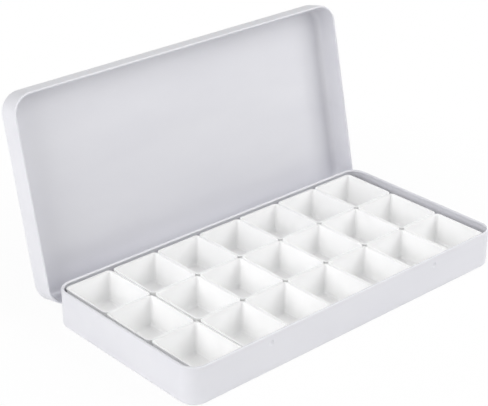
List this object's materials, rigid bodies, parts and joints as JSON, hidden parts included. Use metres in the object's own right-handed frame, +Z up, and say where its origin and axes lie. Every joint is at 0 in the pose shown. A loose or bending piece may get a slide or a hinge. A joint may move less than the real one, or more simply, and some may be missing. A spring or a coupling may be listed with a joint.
{
  "type": "watercolour box",
  "caption": "Shallow white metal paint box with a hinged slip-over lid, holding rows of empty removable plastic half pans.",
  "frame": {"origin": "middle of the tray's underside", "axes": "+X along the box to the right, +Y from the front wall to the hinges, +Z up"},
  "size_m": [0.1224, 0.08, 0.0647],
  "materials": {
    "white_enamel": "semi-gloss white enamel on pressed tinplate",
    "white_plastic": "moulded white plastic",
    "steel_wire": "drawn steel wire"
  },
  "bodies": {
    "tray": {"tray": "white_enamel", "hinge_left_tray_leaf": "white_enamel", "hinge_left_pin": "steel_wire", "hinge_right_tray_leaf": "white_enamel", "hinge_right_pin": "steel_wire"},
    "lid": {"lid": "white_enamel", "hinge_left_lid_leaf": "white_enamel", "hinge_right_lid_leaf": "white_enamel"},
    "pan_row1_col1": {"pan_row1_col1": "white_plastic"},
    "pan_row1_col2": {"pan_row1_col2": "white_plastic"},
    "pan_row1_col3": {"pan_row1_col3": "white_plastic"},
    "pan_row1_col4": {"pan_row1_col4": "white_plastic"},
    "pan_row1_col5": {"pan_row1_col5": "white_plastic"},
    "pan_row1_col6": {"pan_row1_col6": "white_plastic"},
    "pan_row1_col7": {"pan_row1_col7": "white_plastic"},
    "pan_row2_col1": {"pan_row2_col1": "white_plastic"},
    "pan_row2_col2": {"pan_row2_col2": "white_plastic"},
    "pan_row2_col3": {"pan_row2_col3": "white_plastic"},
    "pan_row2_col4": {"pan_row2_col4": "white_plastic"},
    "pan_row2_col5": {"pan_row2_col5": "white_plastic"},
    "pan_row2_col6": {"pan_row2_col6": "white_plastic"},
    "pan_row2_col7": {"pan_row2_col7": "white_plastic"},
    "pan_row3_col1": {"pan_row3_col1": "white_plastic"},
    "pan_row3_col2": {"pan_row3_col2": "white_plastic"},
    "pan_row3_col3": {"pan_row3_col3": "white_plastic"},
    "pan_row3_col4": {"pan_row3_col4": "white_plastic"},
    "pan_row3_col5": {"pan_row3_col5": "white_plastic"},
    "pan_row3_col6": {"pan_row3_col6": "white_plastic"},
    "pan_row3_col7": {"pan_row3_col7": "white_plastic"}
  },
  "joints": [
    {"name": "lid_hinge", "type": "hinge", "parent": "tray", "child": "lid", "pos_m": [0, 0.03034, 0.00488], "axis": [-1, 0, 0], "range_deg": [-102.4, 0]},
    {"name": "pan_row1_col1_lift", "type": "slide", "parent": "tray", "child": "pan_row1_col1", "axis": [0, 0, 1], "range_m": [0, 0.014]},
    {"name": "pan_row1_col2_lift", "type": "slide", "parent": "tray", "child": "pan_row1_col2", "axis": [0, 0, 1], "range_m": [0, 0.014]},
    {"name": "pan_row1_col3_lift", "type": "slide", "parent": "tray", "child": "pan_row1_col3", "axis": [0, 0, 1], "range_m": [0, 0.014]},
    {"name": "pan_row1_col4_lift", "type": "slide", "parent": "tray", "child": "pan_row1_col4", "axis": [0, 0, 1], "range_m": [0, 0.014]},
    {"name": "pan_row1_col5_lift", "type": "slide", "parent": "tray", "child": "pan_row1_col5", "axis": [0, 0, 1], "range_m": [0, 0.014]},
    {"name": "pan_row1_col6_lift", "type": "slide", "parent": "tray", "child": "pan_row1_col6", "axis": [0, 0, 1], "range_m": [0, 0.014]},
    {"name": "pan_row1_col7_lift", "type": "slide", "parent": "tray", "child": "pan_row1_col7", "axis": [0, 0, 1], "range_m": [0, 0.014]},
    {"name": "pan_row2_col1_lift", "type": "slide", "parent": "tray", "child": "pan_row2_col1", "axis": [0, 0, 1], "range_m": [0, 0.014]},
    {"name": "pan_row2_col2_lift", "type": "slide", "parent": "tray", "child": "pan_row2_col2", "axis": [0, 0, 1], "range_m": [0, 0.014]},
    {"name": "pan_row2_col3_lift", "type": "slide", "parent": "tray", "child": "pan_row2_col3", "axis": [0, 0, 1], "range_m": [0, 0.014]},
    {"name": "pan_row2_col4_lift", "type": "slide", "parent": "tray", "child": "pan_row2_col4", "axis": [0, 0, 1], "range_m": [0, 0.014]},
    {"name": "pan_row2_col5_lift", "type": "slide", "parent": "tray", "child": "pan_row2_col5", "axis": [0, 0, 1], "range_m": [0, 0.014]},
    {"name": "pan_row2_col6_lift", "type": "slide", "parent": "tray", "child": "pan_row2_col6", "axis": [0, 0, 1], "range_m": [0, 0.014]},
    {"name": "pan_row2_col7_lift", "type": "slide", "parent": "tray", "child": "pan_row2_col7", "axis": [0, 0, 1], "range_m": [0, 0.014]},
    {"name": "pan_row3_col1_lift", "type": "slide", "parent": "tray", "child": "pan_row3_col1", "axis": [0, 0, 1], "range_m": [0, 0.014]},
    {"name": "pan_row3_col2_lift", "type": "slide", "parent": "tray", "child": "pan_row3_col2", "axis": [0, 0, 1], "range_m": [0, 0.014]},
    {"name": "pan_row3_col3_lift", "type": "slide", "parent": "tray", "child": "pan_row3_col3", "axis": [0, 0, 1], "range_m": [0, 0.014]},
    {"name": "pan_row3_col4_lift", "type": "slide", "parent": "tray", "child": "pan_row3_col4", "axis": [0, 0, 1], "range_m": [0, 0.014]},
    {"name": "pan_row3_col5_lift", "type": "slide", "parent": "tray", "child": "pan_row3_col5", "axis": [0, 0, 1], "range_m": [0, 0.014]},
    {"name": "pan_row3_col6_lift", "type": "slide", "parent": "tray", "child": "pan_row3_col6", "axis": [0, 0, 1], "range_m": [0, 0.014]},
    {"name": "pan_row3_col7_lift", "type": "slide", "parent": "tray", "child": "pan_row3_col7", "axis": [0, 0, 1], "range_m": [0, 0.014]}
  ]
}
